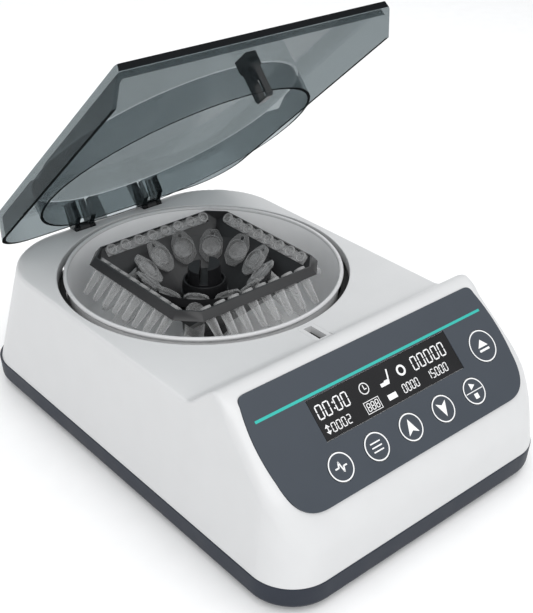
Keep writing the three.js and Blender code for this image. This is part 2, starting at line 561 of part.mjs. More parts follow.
// A flared lip round the frame, over the tubes: a closed profile of [offset, z] points swept round it.
function tubeGuard() {
  const { root, reach, edgeZ, thick } = GUARD;
  const profile = [
    [root, FRAME.top], [0, FRAME.top], [reach, edgeZ], [reach - thick * 0.7, edgeZ - thick * 0.5], [root, FRAME.top - thick],
  ];
  const rings = profile.map(([offset, z]) =>
    squareCorners(FRAME.half + offset, FRAME.chamfer + offset * (2 - Math.SQRT2)).map(([x, y]) => [x, y, z]));
  const corners = rings[0].length;
  const index = [];
  rings.forEach((ring, i) => {
    const next = ((i + 1) % rings.length) * corners;
    for (let j = 0; j < corners; j += 1) {
      const k = (j + 1) % corners;
      index.push(i * corners + j, next + j, next + k, i * corners + j, next + k, i * corners + k);
    }
  });
  const geometry = new THREE.BufferGeometry();
  geometry.setAttribute('position', new THREE.Float32BufferAttribute(rings.flat(2), 3));
  geometry.setIndex(index);
  return geometry;
}

function rotorBody() {
  const block = plate(squareOutline(FRAME.half, FRAME.chamfer), 40, FRAME.top);
  let body = solid(block).intersect(solid(squareDish(SHELF.low, 70)));
  body = cut(body, squareDish(SHELF.high, 70));
  const wall = cut(solid(plate(squareOutline(FRAME.half, FRAME.chamfer), FRAME.bottom, FRAME.top)),
    plate(squareOutline(FRAME.half - FRAME.wall, FRAME.chamfer - 0.5), FRAME.bottom - 1, FRAME.top + 1));
  const { rise, inner, outer, thick } = CONE;
  const dish = turned([
    [0, 38], [inner, 38], [inner, inner + rise - thick - 4], [outer, outer + rise - thick],
    [outer, outer + rise], [inner, inner + rise], [inner, 62], [0, 62],
  ], 36);
  body = body.add(wall).add(solid(dish));
  const tools = [rodZ(MOTOR.shaft + GAP, 30, 41, 0, 0, 16), rodZ(3 + GAP, 30, 70, 0, 0, 16)];
  tubeTurns.forEach((turn) => {
    tools.push(leaning(rodZ(MICRO.body + GAP, -40, 12, 0, 0, 12), MICRO.r, MICRO.z, turn));
  });
  const slotHalf = stripOffsets[STRIP.tubes - 1] + 3.2;
  sides.forEach((turn) => {
    tools.push(leaning(box(-3.1, 3.1, -slotHalf, slotHalf, -14, 0), STRIP.s, STRIP.z, turn));
  });
  return cut(body, ...tools).add(solid(tubeGuard()));
}
add(spin, 'rotor_body', rotorBody(), BLACK_PLASTIC);

function pcrStrip(turn) {
  let strip = solid(box(-2.2, 2.8, -STRIP.bar / 2, STRIP.bar / 2, -0.5, 0.4));
  stripOffsets.forEach((offset) => {
    strip = strip.add(solid(rodZ(2.9, -0.5, 1.3, 0, offset, 8)));
    strip = strip.add(solid(rodZ(1.6, -20, 0, 0, offset, 6, 2.75)));
  });
  return leaning(geometryOf(strip), STRIP.s, STRIP.z, turn);
}
sides.forEach((turn, i) => add(spin, `pcr_strip_${i + 1}`, pcrStrip(turn), CLEAR_PP));

// The closed cap of a microtube: a long hexagon with a thumb tab, across the tube's own axis.
function tubeCap() {
  return polygon([[-9.6, -3], [-9.6, 3], [-4, 6.6], [4, 6.6], [9.6, 2.6], [9.6, -2.6], [4, -6.6], [-4, -6.6]]);
}
function microtube(turn) {
  const cap = plate(tubeCap(), -0.9, 1.1);
  const rim = rodZ(5, 0.5, 1.9, 0, 0, 12);
  const barrel = rodZ(MICRO.body, -21, 0, 0, 0, 12);
  const point = rodZ(1.8, -MICRO.length, -20.5, 0, 0, 12, MICRO.body);
  return leaning(geometryOf(join(cap, rim, barrel, point)), MICRO.r, MICRO.z, turn);
}
tubeTurns.forEach((turn, i) => add(spin, `microtube_${i + 1}`, microtube(turn), CLEAR_PP));

function rotorKnob() {
  const seat = turned([[0, 62.3], [12.4, 62.3], [12.4, 65.5], [11.6, 69], [10.6, 69], [10.2, 66.8], [0, 66.8]], 32);
  const grip = cut(solid(rodZ(9.4, 66, 78.2, 0, 0, 28, 8.8)), box(-12, 12, -2.4, 2.4, 69.5, 90),
    box(-12, 12, 2.4, 12, 76, 90));
  const viewTurn = THREE.MathUtils.degToRad(49);
  const body = grip.add(solid(seat));
  return cut(body, rodZ(3 + GAP, 60, 66.4, 0, 0, 16)).rotate([0, 0, THREE.MathUtils.radToDeg(viewTurn)]);
}
add(spin, 'rotor_knob', rotorKnob(), BLACK_PLASTIC);

export default machine;
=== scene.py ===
"""Looks of the bench-top microcentrifuge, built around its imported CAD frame.

Lengths are in millimetres in the CAD frame's axes unless a name says otherwise, and become metres
when a mesh is made. The shapes that show are rebuilt here with soft edges and printed marks.
"""

import json
import math

import bmesh
import bpy
import numpy as np
from mathutils import Matrix, Vector


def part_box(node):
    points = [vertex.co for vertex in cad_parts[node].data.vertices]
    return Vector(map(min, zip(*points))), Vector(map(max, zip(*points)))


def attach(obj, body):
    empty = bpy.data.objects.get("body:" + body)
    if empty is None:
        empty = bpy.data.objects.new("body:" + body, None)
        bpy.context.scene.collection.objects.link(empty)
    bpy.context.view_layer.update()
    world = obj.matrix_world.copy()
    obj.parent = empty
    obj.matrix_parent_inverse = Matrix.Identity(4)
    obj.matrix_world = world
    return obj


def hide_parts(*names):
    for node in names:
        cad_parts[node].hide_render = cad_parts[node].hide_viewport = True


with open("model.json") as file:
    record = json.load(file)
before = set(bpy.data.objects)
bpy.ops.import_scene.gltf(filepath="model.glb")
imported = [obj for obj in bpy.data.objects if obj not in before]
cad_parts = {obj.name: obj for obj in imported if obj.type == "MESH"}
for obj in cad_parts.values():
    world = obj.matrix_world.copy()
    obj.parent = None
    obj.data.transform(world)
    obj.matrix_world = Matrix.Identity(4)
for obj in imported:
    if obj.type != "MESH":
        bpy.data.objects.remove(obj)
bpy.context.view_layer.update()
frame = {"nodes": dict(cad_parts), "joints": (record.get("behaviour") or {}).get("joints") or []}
MM = 0.001
SMOOTH = math.radians(32)


def limits(node):
    """Lowest and highest corner of a CAD node in millimetres."""
    lo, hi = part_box(node)
    return lo / MM, hi / MM


# ---------------------------------------------------------------- sizes, from the frame
CASING_HI = limits("top_casing")[1]
TRAY_LO, TRAY_HI = limits("base_tray")
JOINTS = {joint["name"]: joint for joint in frame["joints"]}
HINGE = Vector(JOINTS["lid_hinge"]["pos_m"]) / MM
ROTOR = Vector(JOINTS["rotor_spin"]["pos_m"]) / MM
LID_OPEN = math.radians(JOINTS["lid_hinge"]["range_deg"][1])

# Sizes that the frame doesn't state.
SEAM_Z = 16
DECK_Z = 76
HALF_X = CASING_HI.x
HALF_Y = CASING_HI.y
LEAN_X, LEAN_Y = 0.11, 0.098
CREST_Z = CASING_HI.z
RIDGE_FOOT, RIDGE_TOP = (-56.8, DECK_Z), (-72.3, CREST_Z)
PANEL_TOP = Vector((0, -80.9, 88.3))
PANEL_SLOPE = math.radians(42.6)
PANEL_HEIGHT = 59.4
WALL = 2.6
MOUTH = 78.5
COLLAR_HALF_X, COLLAR_FRONT, COLLAR_REAR = 5, -57.4, -42.4
COLLAR_GAP = 0.1
FOOT_X, FOOT_Y = 78, 98
FIN_X = (18.5, 28.5)
RING_RADIUS = 76.8


# ---------------------------------------------------------------- materials
def principled(name, color, roughness, metallic=0.0, coat=0.0, specular=0.5):
    material = bpy.data.materials.new(name)
    material.use_nodes = True
    shader = material.node_tree.nodes["Principled BSDF"]
    shader.inputs["Base Color"].default_value = (*color, 1)
    shader.inputs["Roughness"].default_value = roughness
    shader.inputs["Metallic"].default_value = metallic
    shader.inputs["Coat Weight"].default_value = coat
    shader.inputs["Coat Roughness"].default_value = 0.08
    shader.inputs["Specular IOR Level"].default_value = specular
    return material, shader


def noise(material, scale, detail=2.0, stretch=(1, 1, 1)):
    """A noise texture in object space; scale counts the features in a metre."""
    nodes, links = material.node_tree.nodes, material.node_tree.links
    place = nodes.new("ShaderNodeTexCoord")
    mapping = nodes.new("ShaderNodeMapping")
    mapping.inputs["Scale"].default_value = stretch
    texture = nodes.new("ShaderNodeTexNoise")
    texture.inputs["Scale"].default_value = scale
    texture.inputs["Detail"].default_value = detail
    links.new(place.outputs["Object"], mapping.inputs["Vector"])
    links.new(mapping.outputs["Vector"], texture.inputs["Vector"])
    return texture.outputs["Fac"]


def spread(material, value, low, high):
    """Maps a noise value onto a range."""
    node = material.node_tree.nodes.new("ShaderNodeMapRange")
    node.inputs["From Min"].default_value = 0.3
    node.inputs["From Max"].default_value = 0.7
    node.inputs["To Min"].default_value = low
    node.inputs["To Max"].default_value = high
    material.node_tree.links.new(value, node.inputs["Value"])
    return node.outputs["Result"]


def vary(material, shader, color, share, roughness, change, scale, stretch=(1, 1, 1)):
    """Lets the colour and the roughness drift slightly over the surface."""
    nodes, links = material.node_tree.nodes, material.node_tree.links
    value = noise(material, scale, 3.0, stretch)
    ramp = nodes.new("ShaderNodeValToRGB")
    ramp.color_ramp.elements[0].position = 0.3
    ramp.color_ramp.elements[1].position = 0.7
    ramp.color_ramp.elements[0].color = (*[c * (1 - share) for c in color], 1)
    ramp.color_ramp.elements[1].color = (*[min(1.0, c * (1 + share)) for c in color], 1)
    links.new(value, ramp.inputs["Fac"])
    links.new(ramp.outputs["Color"], shader.inputs["Base Color"])
    links.new(spread(material, value, roughness - change, roughness + change), shader.inputs["Roughness"])


def grain(material, shader, scale, strength, height, stretch=(1, 1, 1)):
    """A moulded or drawn surface texture as bump, height in millimetres."""
    nodes, links = material.node_tree.nodes, material.node_tree.links
    bump = nodes.new("ShaderNodeBump")
    bump.inputs["Strength"].default_value = strength
    bump.inputs["Distance"].default_value = height * MM
    links.new(noise(material, scale, 2.0, stretch), bump.inputs["Height"])
    links.new(bump.outputs["Normal"], shader.inputs["Normal"])


def moulded(name, color, roughness, share=0.03, texture=0.12, scale=1400, **more):
    """Injection-moulded plastic: faint mottling and a fine texture."""
    material, shader = principled(name, color, roughness, **more)
    vary(material, shader, color, share, roughness, 0.04, 60)
    grain(material, shader, scale, texture, 0.05)
    return material


def metal(name, color, roughness, stretch):
    """Drawn or turned metal with lines across the stretch."""
    material, shader = principled(name, color, roughness, metallic=1.0)
    vary(material, shader, color, 0.08, roughness, 0.08, 300, stretch)
    grain(material, shader, 500, 0.15, 0.02, stretch)
    return material


def see_through(name, tint, color, solid, rim, roughness, blend=0.25):
    """Clear or smoked plastic: a solid share that grows from solid, face on, to rim at the outlines,
    and light passing through the rest with a tint."""
    material, shader = principled(name, color, roughness)
    vary(material, shader, color, 0.08, roughness, 0.03, 80)
    grain(material, shader, 400, 0.03, 0.02)
    nodes, links = material.node_tree.nodes, material.node_tree.links
    clear = nodes.new("ShaderNodeBsdfTransparent")
    clear.inputs["Color"].default_value = (*tint, 1)
    facing = nodes.new("ShaderNodeLayerWeight")
    facing.inputs["Blend"].default_value = blend
    share = nodes.new("ShaderNodeMapRange")
    share.inputs["To Min"].default_value = solid
    share.inputs["To Max"].default_value = rim
    mix = nodes.new("ShaderNodeMixShader")
    links.new(facing.outputs["Facing"], share.inputs["Value"])
    links.new(share.outputs["Result"], mix.inputs["Fac"])
    links.new(clear.outputs["BSDF"], mix.inputs[1])
    links.new(shader.outputs["BSDF"], mix.inputs[2])
    links.new(mix.outputs["Shader"], nodes["Material Output"].inputs["Surface"])
    return material


WHITE = moulded("white_abs", (0.595, 0.597, 0.60), 0.36, share=0.012, texture=0.04, coat=0.1)
SLATE = moulded("slate_abs", (0.0135, 0.0185, 0.030), 0.5, share=0.06, texture=0.35, scale=1800, specular=0.3)
FILM = moulded("slate_film", (0.040, 0.049, 0.062), 0.45, share=0.03, texture=0.15, scale=2600, specular=0.35)
BLACK = moulded("black_plastic", (0.016, 0.016, 0.017), 0.40, share=0.15, texture=0.25)
KNOB = moulded("knob_plastic", (0.008, 0.008, 0.009), 0.42, share=0.15, texture=0.2, specular=0.25)
LIP = moulded("grey_lip", (0.56, 0.56, 0.565), 0.3, share=0.02, texture=0.06, coat=0.2)
# The bowl's inner wall is the lip's grey plastic painted lighter: painted light that stands in for light
# inside the deep bowl.
PAINTED_LIGHT_LINER = moulded("grey_liner", (0.86, 0.86, 0.865), 0.34, share=0.02, texture=0.06, coat=0.1)
TEAL = moulded("teal_print", (0.016, 0.40, 0.35), 0.4, share=0.03, texture=0.1)
PRINT = moulded("white_print", (0.80, 0.80, 0.80), 0.45, share=0.02, texture=0.1)
GLASS = moulded("display_glass", (0.007, 0.007, 0.008), 0.3, share=0.1, texture=0.02, specular=0.25)
SMOKE = see_through("smoke", (0.525, 0.56, 0.57), (0.030, 0.036, 0.040), 0.03, 0.42, 0.08)
SMOKE_LIGHT = moulded("smoke_light", (0.15, 0.18, 0.19), 0.3, share=0.05, texture=0.02, specular=0.3)
SMOKE_RING = see_through("smoke_ring", (0.74, 0.77, 0.78), (0.030, 0.036, 0.040), 0.03, 0.5, 0.08)
SMOKE_THICK = see_through("smoke_thick", (0.33, 0.355, 0.36), (0.020, 0.023, 0.025), 0.3, 0.9, 0.1)
SMOKE_EDGE = moulded("smoke_edge", (0.010, 0.011, 0.012), 0.5, share=0.05, texture=0.05, specular=0.0)
TUBE = see_through("tube_plastic", (0.92, 0.92, 0.92), (0.80, 0.80, 0.80), 0.09, 1.0, 0.15)
CAP = see_through("cap_plastic", (0.85, 0.85, 0.85), (0.50, 0.50, 0.50), 0.07, 1.0, 0.2)
CAP_RIM = see_through("cap_rim", (0.85, 0.85, 0.85), (0.40, 0.40, 0.40), 0.45, 1.0, 0.2)
RUBBER = moulded("rubber", (0.012, 0.012, 0.012), 0.8, share=0.2, texture=0.4)
BOARD = moulded("board", (0.014, 0.105, 0.042), 0.5, share=0.2, texture=0.2)
WINDING = metal("winding", (0.42, 0.14, 0.05), 0.4, (1, 1, 12))
STEEL = metal("steel", (0.50, 0.52, 0.54), 0.28, (1, 1, 14))
ALUMINIUM = metal("aluminium", (0.55, 0.57, 0.58), 0.36, (14, 1, 1))


# ---------------------------------------------------------------- meshes
def new_object(name, vertices, faces, *materials):
    mesh = bpy.data.meshes.new(name)
    mesh.from_pydata([tuple(c * MM for c in v) for v in vertices], [], faces)
    made = bpy.data.objects.new(name, mesh)
    bpy.context.scene.collection.objects.link(made)
    for material in materials:
        mesh.materials.append(material)
    edit = bmesh.new()
    edit.from_mesh(mesh)
    bmesh.ops.recalc_face_normals(edit, faces=edit.faces)
    edit.to_mesh(mesh)
    edit.free()
    return made


def apply_modifiers(made):
    """Bakes the modifiers of a new piece into its mesh."""
    graph = bpy.context.evaluated_depsgraph_get()
    mesh = bpy.data.meshes.new_from_object(made.evaluated_get(graph))
    old = made.data
    made.modifiers.clear()
    made.data = mesh
    bpy.data.meshes.remove(old)


def combine(base, tool, operation):
    """Joins, cuts or intersects base with tool, and removes tool."""
    modifier = base.modifiers.new("boolean", "BOOLEAN")
    modifier.operation = operation
    modifier.solver = "EXACT"
    modifier.object = tool
    apply_modifiers(base)
    bpy.data.objects.remove(tool)
    return base


def rounded(made, width, segments=2, angle=30):
    """Bevels the edges sharper than an angle."""
    modifier = made.modifiers.new("bevel", "BEVEL")
    modifier.width = width * MM
    modifier.segments = segments
    modifier.limit_method = "ANGLE"
    modifier.angle_limit = math.radians(angle)
    apply_modifiers(made)
    return made


def shade(made, angle=SMOOTH):
    made.data.shade_smooth()
    made.data.set_sharp_from_angle(angle=angle)
    return made


def piece(made, body, *nodes, slot=None, angle=SMOOTH):
    """Shades a finished piece, fixes it to a body and lets it stand for CAD nodes."""
    shade(made, angle)
    weighted = made.modifiers.new("weighted", "WEIGHTED_NORMAL")
    weighted.keep_sharp = True
    apply_modifiers(made)
    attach(made, body)
    if nodes:
        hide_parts(*nodes)
    return made


def lathe(name, profile, material, facets=96, centre=(0, 0, 0)):
    """Turns a closed (radius, height) profile about the Z axis through centre."""
    vertices, faces, rings = [], [], []
    for radius, z in profile:
        if radius < 1e-6:
            rings.append([len(vertices)] * facets)
            vertices.append((centre[0], centre[1], centre[2] + z))
            continue
        rings.append(list(range(len(vertices), len(vertices) + facets)))
        for i in range(facets):
            a = 2 * math.pi * i / facets
            x, y = radius * math.cos(a), radius * math.sin(a)
            vertices.append((centre[0] + x, centre[1] + y, centre[2] + z))
    for ring, following in zip(rings, rings[1:] + rings[:1]):
        for i in range(facets):
            j = (i + 1) % facets
            corners = [ring[i], ring[j], following[j], following[i]]
            unique = list(dict.fromkeys(corners))
            if len(unique) > 2:
                faces.append(unique)
    return new_object(name, vertices, faces, material)


def prism(name, outline, low, high, material, place=None):
    """A closed outline in X and Y raised from low to high, then moved by a matrix."""
    count = len(outline)
    vertices = [(x, y, low) for x, y in outline] + [(x, y, high) for x, y in outline]
    faces = [list(range(count))[::-1], list(range(count, 2 * count))]
    faces += [[i, (i + 1) % count, count + (i + 1) % count, count + i] for i in range(count)]
    if place is not None:
        vertices = [tuple(place @ Vector(v)) for v in vertices]
    return new_object(name, vertices, faces, material)


def block(name, low, high, material=None, place=None):
    """A box between two corners, moved by a matrix. A tool for a cut needs no material of its own."""
    outline = [(low[0], low[1]), (high[0], low[1]), (high[0], high[1]), (low[0], high[1])]
    return prism(name, outline, low[2], high[2], material or WHITE, place)


def merge(name, *parts):
    """Several new pieces as one object with their materials kept."""
    materials = []
    for part in parts:
        for material in part.data.materials:
            if material not in materials:
                materials.append(material)
    edit = bmesh.new()
    for part in parts:
        start = len(edit.faces)
        edit.from_mesh(part.data)
        edit.faces.ensure_lookup_table()
        for face in edit.faces[start:]:
            face.material_index = materials.index(part.data.materials[face.material_index])
    mesh = bpy.data.meshes.new(name)
    edit.to_mesh(mesh)
    edit.free()
    for material in materials:
        mesh.materials.append(material)
    made = bpy.data.objects.new(name, mesh)
    bpy.context.scene.collection.objects.link(made)
    for part in parts:
        bpy.data.objects.remove(part)
    return made


def copy_of(node, name, *materials):
    """The CAD node's shape as a new piece: welded, with its flat faces whole again."""
    mesh = frame["nodes"][node].data.copy()
    mesh.name = name
    mesh.materials.clear()
    for material in materials:
        mesh.materials.append(material)
    edit = bmesh.new()
    edit.from_mesh(mesh)
    bmesh.ops.remove_doubles(edit, verts=edit.verts, dist=0.005 * MM)
    bmesh.ops.dissolve_limit(
        edit, angle_limit=math.radians(0.6), verts=edit.verts, edges=edit.edges, use_dissolve_boundaries=False
    )
    for face in edit.faces:
        face.material_index = 0
    clean = bpy.data.meshes.new(name)
    edit.to_mesh(clean)
    edit.free()
    for material in materials:
        clean.materials.append(material)
    bpy.data.meshes.remove(mesh)
    made = bpy.data.objects.new(name, clean)
    bpy.context.scene.collection.objects.link(made)
    return made


# ---------------------------------------------------------------- soft solids
def round_and(a, b, r):
    """Distance to the common part of two solids, with their edge rounded to radius r."""
    return np.minimum(np.maximum(a, b), -r) + np.hypot(np.maximum(a + r, 0), np.maximum(b + r, 0))


def round_or(a, b, r):
    """Distance to two solids joined, with the inner corner filled to radius r."""
    return np.maximum(np.minimum(a, b), r) - np.hypot(np.maximum(r - a, 0), np.maximum(r - b, 0))


def rounded_box_2d(x, y, half_x, half_y, corner):
    dx, dy = np.abs(x) - half_x + corner, np.abs(y) - half_y + corner
    return np.minimum(np.maximum(dx, dy), 0) + np.hypot(np.maximum(dx, 0), np.maximum(dy, 0)) - corner


def steps(*stops):
    """Grid lines: stops is (start, count, next, count, ..., end)."""
    lines = [stops[0]]
    for count, end in zip(stops[1::2], stops[2::2]):
        start = lines[-1]
        lines += [start + (end - start) * (i + 1) / count for i in range(count)]
    return lines


def shrink_wrap(name, xs, ys, low_rows, high_rows, bottom, ceiling, reach, field, material):
    """A closed skin: a grid over a box whose top follows ceiling(y), each point moved inwards until it
    meets the surface where field is zero. The bottom is one flat face."""
    rows = low_rows + high_rows
    last_i, last_j = len(xs) - 1, len(ys) - 1
    index, points = {}, []

    def core(y):
        return np.maximum(ceiling(y) - reach, bottom + 1)

    def at(i, j, k):
        if (i, j, k) not in index:
            middle = core(ys[j])
            if k <= low_rows:
                z = bottom + (middle - bottom) * k / low_rows
            else:
                z = middle + (ceiling(ys[j]) + 2 - middle) * (k - low_rows) / high_rows
            index[i, j, k] = len(points)
            points.append((xs[i], ys[j], z))
        return index[i, j, k]

    faces = []
    for i in range(last_i):
        for j in range(last_j):
            faces.append([at(i, j, rows), at(i + 1, j, rows), at(i + 1, j + 1, rows), at(i, j + 1, rows)])
    for k in range(rows):
        for i in range(last_i):
            for j in (0, last_j):
                faces.append([at(i, j, k), at(i + 1, j, k), at(i + 1, j, k + 1), at(i, j, k + 1)])
        for j in range(last_j):
            for i in (0, last_i):
                faces.append([at(i, j, k), at(i, j + 1, k), at(i, j + 1, k + 1), at(i, j, k + 1)])
    loop = [at(i, 0, 0) for i in range(last_i)]
    loop += [at(last_i, j, 0) for j in range(last_j)]
    loop += [at(i, last_j, 0) for i in range(last_i, 0, -1)]
    loop += [at(0, j, 0) for j in range(last_j, 0, -1)]
    faces.append(loop)

    p = np.array(points, float)
    x = np.clip(p[:, 0], xs[0] + reach, xs[-1] - reach)
    y = np.clip(p[:, 1], ys[0] + reach, ys[-1] - reach)
    inwards = np.stack([x, y, np.minimum(p[:, 2], core(y))], axis=1) - p
    distance = np.linalg.norm(inwards, axis=1)
    inwards /= distance[:, None]
    travel = np.zeros(len(p))
    for _ in range(60):
        travel = np.clip(travel + 0.85 * field(*(p + inwards * travel[:, None]).T), 0, distance)
    p += inwards * travel[:, None]
    return new_object(name, p.tolist(), faces, material)


# ---------------------------------------------------------------- housing
def casing_field(inset):
    """The top casing's outer surface, moved inwards by inset."""
    foot, top = Vector(RIDGE_FOOT), Vector(RIDGE_TOP)
    along = (top - foot).normalized()
    back = Vector((along.y, -along.x))
    slope, lift = math.sin(PANEL_SLOPE), math.cos(PANEL_SLOPE)

    def field(x, y, z):
        rise = z - SEAM_Z
        rear = np.clip((y + 20) / 80, 0, 1)
        corner = 23 + rear * (3 + np.clip(rise, 0, 60) * 0.28)
        wall = rounded_box_2d(x, y, HALF_X - LEAN_X * rise, HALF_Y - LEAN_Y * rise, corner) * 0.99
        panel = (z - PANEL_TOP.z) * lift - (y - PANEL_TOP.y) * slope
        ridge = round_and(z - CREST_Z, (y - foot.x) * back.x + (z - foot.y) * back.y, 3.0)
        top_side = round_and(round_or(ridge, z - DECK_Z, 2.5), panel, 5.0)
        edge = np.interp(y, (-124, -115, -84, -74, -60), (10, 6, 6, 1.6, 1.6))
        return round_and(wall, top_side, edge) + inset

    return field


def casing_ceiling(y):
    """Height of the top along the middle of the casing: panel, ridge and deck."""
    rise = math.tan(PANEL_SLOPE)
    crest_y = PANEL_TOP.y + (CREST_Z - PANEL_TOP.z) / rise
    front = crest_y - 60
    along = (front, crest_y, RIDGE_TOP[0], RIDGE_FOOT[0])
    return np.interp(y, along, (CREST_Z - 60 * rise, CREST_Z, CREST_Z, DECK_Z))


def casing_skin(name, inset, bottom, n):
    reach = 24
    xs = steps(-HALF_X - 2, 12 * n, -HALF_X + 22, 5 * n, -36, 4, 36, 5 * n, HALF_X - 22, 12 * n, HALF_X + 2)
    ys = steps(-HALF_Y - 2, 12 * n, -HALF_Y + 22, 6 * n, -84, 14 * n, -50, 6, 60)
    ys += steps(60, 8 * n, HALF_Y - 22, 12 * n, HALF_Y + 2)[1:]
    return shrink_wrap(name, xs, ys, 8, 13 * n, bottom, casing_ceiling, reach, casing_field(inset), WHITE)


TILT = Matrix.Translation(PANEL_TOP) @ Matrix.Rotation(PANEL_SLOPE, 4, "X")


def panel_outline(grow, count=14):
    """The dark panel's outline: straight top and bottom, bulging sides and larger lower corners."""
    bottom = -PANEL_HEIGHT - grow
    right = [
        ((70.9 + grow, grow), (75.4 + grow, grow), (75.6 + grow, -4.5)),
        ((75.6 + grow, -4.5), (80 + grow, -22), (77.4 + grow, -40)),
        ((77.4 + grow, -40), (76.2 + grow, bottom), (60, bottom)),
    ]
    outline = []
    for start, pull, end in right:
        for i in range(count):
            t = i / count
            outline.append(
                tuple(
                    (1 - t) ** 2 * a + 2 * t * (1 - t) * b + t * t * c for a, b, c in zip(start, pull, end)
                )
            )
    outline.append(right[-1][2])
    return outline + [(-x, y) for x, y in reversed(outline)]


def disc(radius, x=0.0, y=0.0, count=48, start=0.0):
    return [
        (
            x + radius * math.cos(start + 2 * math.pi * i / count),
            y + radius * math.sin(start + 2 * math.pi * i / count),
        )
        for i in range(count)
    ]


KEYS = {
    "key_pulse": (-45.1, -46.8, 6.7),
    "key_menu": (-23.0, -46.8, 6.7),
    "key_up": (-0.9, -46.8, 6.7),
    "key_down": (21.2, -46.8, 6.7),
    "key_start_stop": (43.3, -46.8, 6.7),
    "key_open": (62.8, -29.8, 8.3),
}
REAR_LEAN = math.atan(LEAN_Y)
REAR_Z = 44


def rear_place(x):
    y = HALF_Y - LEAN_Y * (REAR_Z - SEAM_Z)
    return Matrix.Translation((x, y, REAR_Z)) @ Matrix.Rotation(REAR_LEAN - math.pi / 2, 4, "X")


def casing_openings():
    """Chamber mouth, the cut round the latch slot's collar, panel seat, hinge pockets and mains inlet."""
    r = MOUTH
    side = COLLAR_HALF_X + COLLAR_GAP
    mouth = [(0, 40), (r, 40), (r, 75.3), (r + 0.2, 75.8), (r + 0.7, 76.05), (r + 0.7, 90), (0, 90)]
    tools = [
        lathe("mouth", mouth, WHITE, 128, (0, ROTOR.y, 0)),
        block("slot", (-side, COLLAR_FRONT - COLLAR_GAP, 60), (side, COLLAR_REAR + COLLAR_GAP, 90)),
        prism("seat", panel_outline(0.2), -0.9, 12, WHITE, TILT),
        block("inlet", (-22.4, -10.9, -8), (22.4, 10.9, 8), None, rear_place(35)),
    ]
    tools += [block("pocket", (x - 7.1, 118.6, 70.8), (x + 7.1, 140, 90)) for x in (-23.5, 23.5)]
    return merge("openings", *tools)


def casing_holes():
    """Holes behind the panel for the display and the key stems, and the vent slots at the back."""
    tools = [block("display", (-43.9, -33.6, -8), (43.9, -15.6, -0.5), None, TILT)]
    tools += [prism("stem", disc(3.4, u, v, 20), -8, -0.5, WHITE, TILT) for u, v, _ in KEYS.values()]
    vents = [rear_place(-31 + (i - 4) * 6) for i in range(9)]
    tools += [block("vent", (-1.2, -13, -8), (1.2, 13, 6), None, place) for place in vents]
    return merge("holes", *tools)


def make_casing():
    casing = casing_skin("top_casing_shell", 0, SEAM_Z, 2)
    combine(casing, casing_skin("hollow", WALL, SEAM_Z - 6, 1), "DIFFERENCE")
    flange = [(MOUTH - 1, 70.5), (MOUTH + 2, 70.5), (MOUTH + 2, 75), (MOUTH - 1, 75)]
    combine(casing, lathe("flange", flange, WHITE, 128, (0, ROTOR.y, 0)), "UNION")
    combine(casing, casing_openings(), "DIFFERENCE")
    combine(casing, casing_holes(), "DIFFERENCE")
    return piece(casing, "housing", "top_casing", slot="white_abs", angle=math.radians(26))


make_casing()


def tray_ring(z, half_x, half_y, corner, count=14):
    points = []
    for cx, cy, start in ((1, -1, -90), (1, 1, 0), (-1, 1, 90), (-1, -1, 180)):
        for i in range(count + 1):
            a = math.radians(start + 90 * i / count)
            x = cx * (half_x - corner) + corner * math.cos(a)
            points.append((x, cy * (half_y - corner) + corner * math.sin(a), z))
    return points


def loft(name, rings, material):
    """Stacked rings of equal length, closed at both ends."""
    count = len(rings[0])
    vertices = [v for ring in rings for v in ring]
    faces = [list(range(count))[::-1], list(range(len(vertices) - count, len(vertices)))]
    for r in range(len(rings) - 1):
        for i in range(count):
            j = (i + 1) % count
            faces.append([r * count + i, r * count + j, (r + 1) * count + j, (r + 1) * count + i])
    return new_object(name, vertices, faces, material)


def make_tray():
    """The tray tapers a little towards the bench, and its lower edge is rounded."""
    half_x, half_y, low = TRAY_HI.x, TRAY_HI.y, TRAY_LO.z
    shape = []
    for a in np.linspace(0, math.pi / 2, 7):
        lift = 4 * (1 - math.cos(a))
        inset = 4 * (1 - math.sin(a)) + 0.75 * (1 - lift / 13.5)
        shape.append(tray_ring(low + lift, half_x - inset, half_y - inset, 24 - inset / 2))
    for z, inset in ((SEAM_Z - 0.5, 0), (SEAM_Z - 0.1, 0.2), (SEAM_Z, 0.5)):
        shape.append(tray_ring(z, half_x - inset, half_y - inset, 24 - inset))
    tray = loft("base_tray_shell", shape, SLATE)
    hollow = [
        tray_ring(low + 2.5, half_x - 6, half_y - 6, 18),
        tray_ring(low + 5, half_x - 3, half_y - 3, 21),
        tray_ring(SEAM_Z + 2, half_x - 2.8, half_y - 2.8, 21.2),
    ]
    combine(tray, loft("hollow", hollow, SLATE), "DIFFERENCE")
    rows = [ROTOR.y + y for y in range(-14, 15, 7)]
    tools = [block("slot", (-22, y - 1.5, 0), (22, y + 1.5, 10)) for y in rows]
    feet = [(x, y) for x in (-FOOT_X, FOOT_X) for y in (-FOOT_Y, FOOT_Y)]
    tools += [prism("hole", disc(2, x, y, 16), 0, 10, SLATE) for x, y in feet]
    combine(tray, merge("holes", *tools), "DIFFERENCE")
    return piece(tray, "housing", "base_tray", slot="slate_abs")


make_tray()


# ---------------------------------------------------------------- chamber
def arc(centre, radius, start, end, count):
    """Points on an arc, angles in degrees."""
    return [
        (
            centre[0] + radius * math.cos(math.radians(start + (end - start) * i / count)),
            centre[1] + radius * math.sin(math.radians(start + (end - start) * i / count)),
        )
        for i in range(count + 1)
    ]


